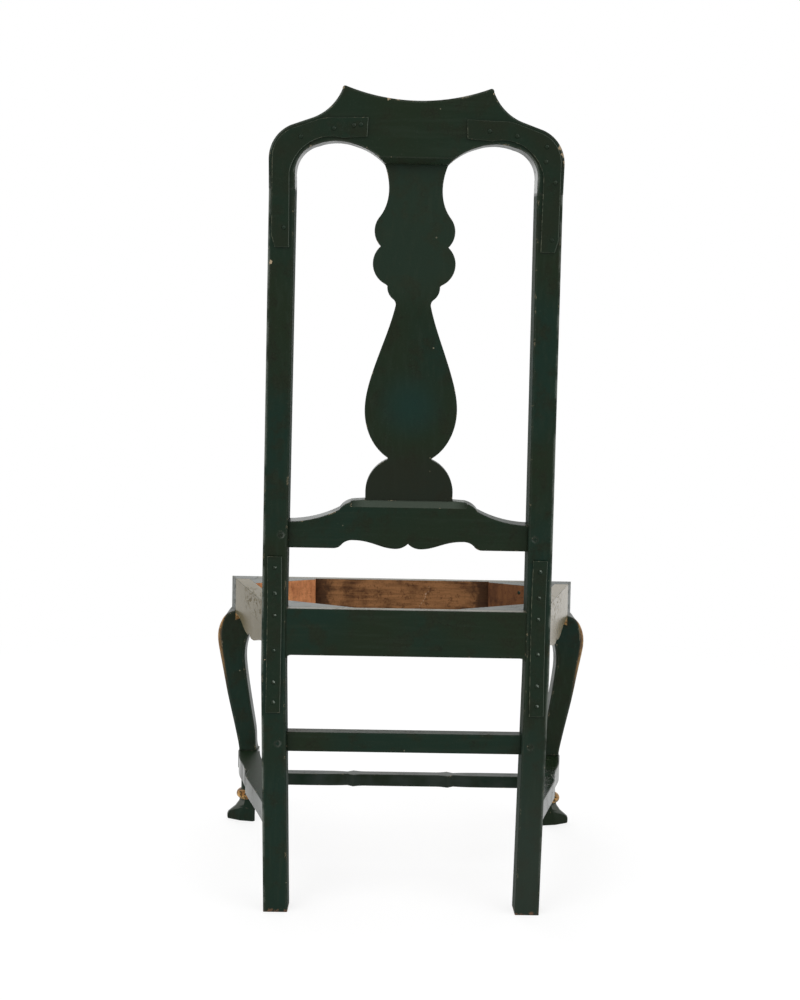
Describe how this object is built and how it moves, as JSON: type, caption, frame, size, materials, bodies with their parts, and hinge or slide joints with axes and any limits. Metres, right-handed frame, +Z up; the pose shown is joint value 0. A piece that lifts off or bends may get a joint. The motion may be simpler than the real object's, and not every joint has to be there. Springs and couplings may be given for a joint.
{
  "type": "painted side chair",
  "caption": "Painted side chair with a horned yoke crest, vase splat, open seat frame, cabriole front legs on flat stretchers and iron repair straps behind.",
  "frame": {"origin": "floor level, under the middle of the whole chair's bounding box", "axes": "+Z up, -Y towards the front of the chair, +X to the sitter's left"},
  "size_m": [0.6068, 0.528, 1.0556],
  "materials": {
    "painted_wood": "dark green varnished paint with gilt lines, worn at the edges",
    "bare_wood": "bare aged pine",
    "pegs": "painted over with the chair",
    "painted_iron": "wrought iron painted dark green",
    "iron": "wrought iron nails, paint worn from the heads"
  },
  "bodies": {
    "root": {"corner_block_nails": "iron", "crest_rail": "painted_wood", "cross_rail": "painted_wood", "front_seat_rail": "painted_wood", "joint_pegs": "pegs", "left_corner_strap": "painted_iron", "left_front_corner_block": "bare_wood", "left_front_foot": "painted_wood", "left_front_knee_block": "painted_wood", "left_front_leg": "painted_wood", "left_leg_strap": "painted_iron", "left_rear_corner_block": "bare_wood", "left_seat_rail": "painted_wood", "left_side_knee_block": "painted_wood", "left_side_stretcher": "painted_wood", "left_stile": "painted_wood", "medial_stretcher": "painted_wood", "rear_seat_rail": "painted_wood", "rear_stretcher": "painted_wood", "right_corner_strap": "painted_iron", "right_front_corner_block": "bare_wood", "right_front_foot": "painted_wood", "right_front_knee_block": "painted_wood", "right_front_leg": "painted_wood", "right_leg_strap": "painted_iron", "right_rear_corner_block": "bare_wood", "right_seat_rail": "painted_wood", "right_side_knee_block": "painted_wood", "right_side_stretcher": "painted_wood", "right_stile": "painted_wood", "splat": "painted_wood", "strap_nails": "iron"}
  },
  "joints": []
}
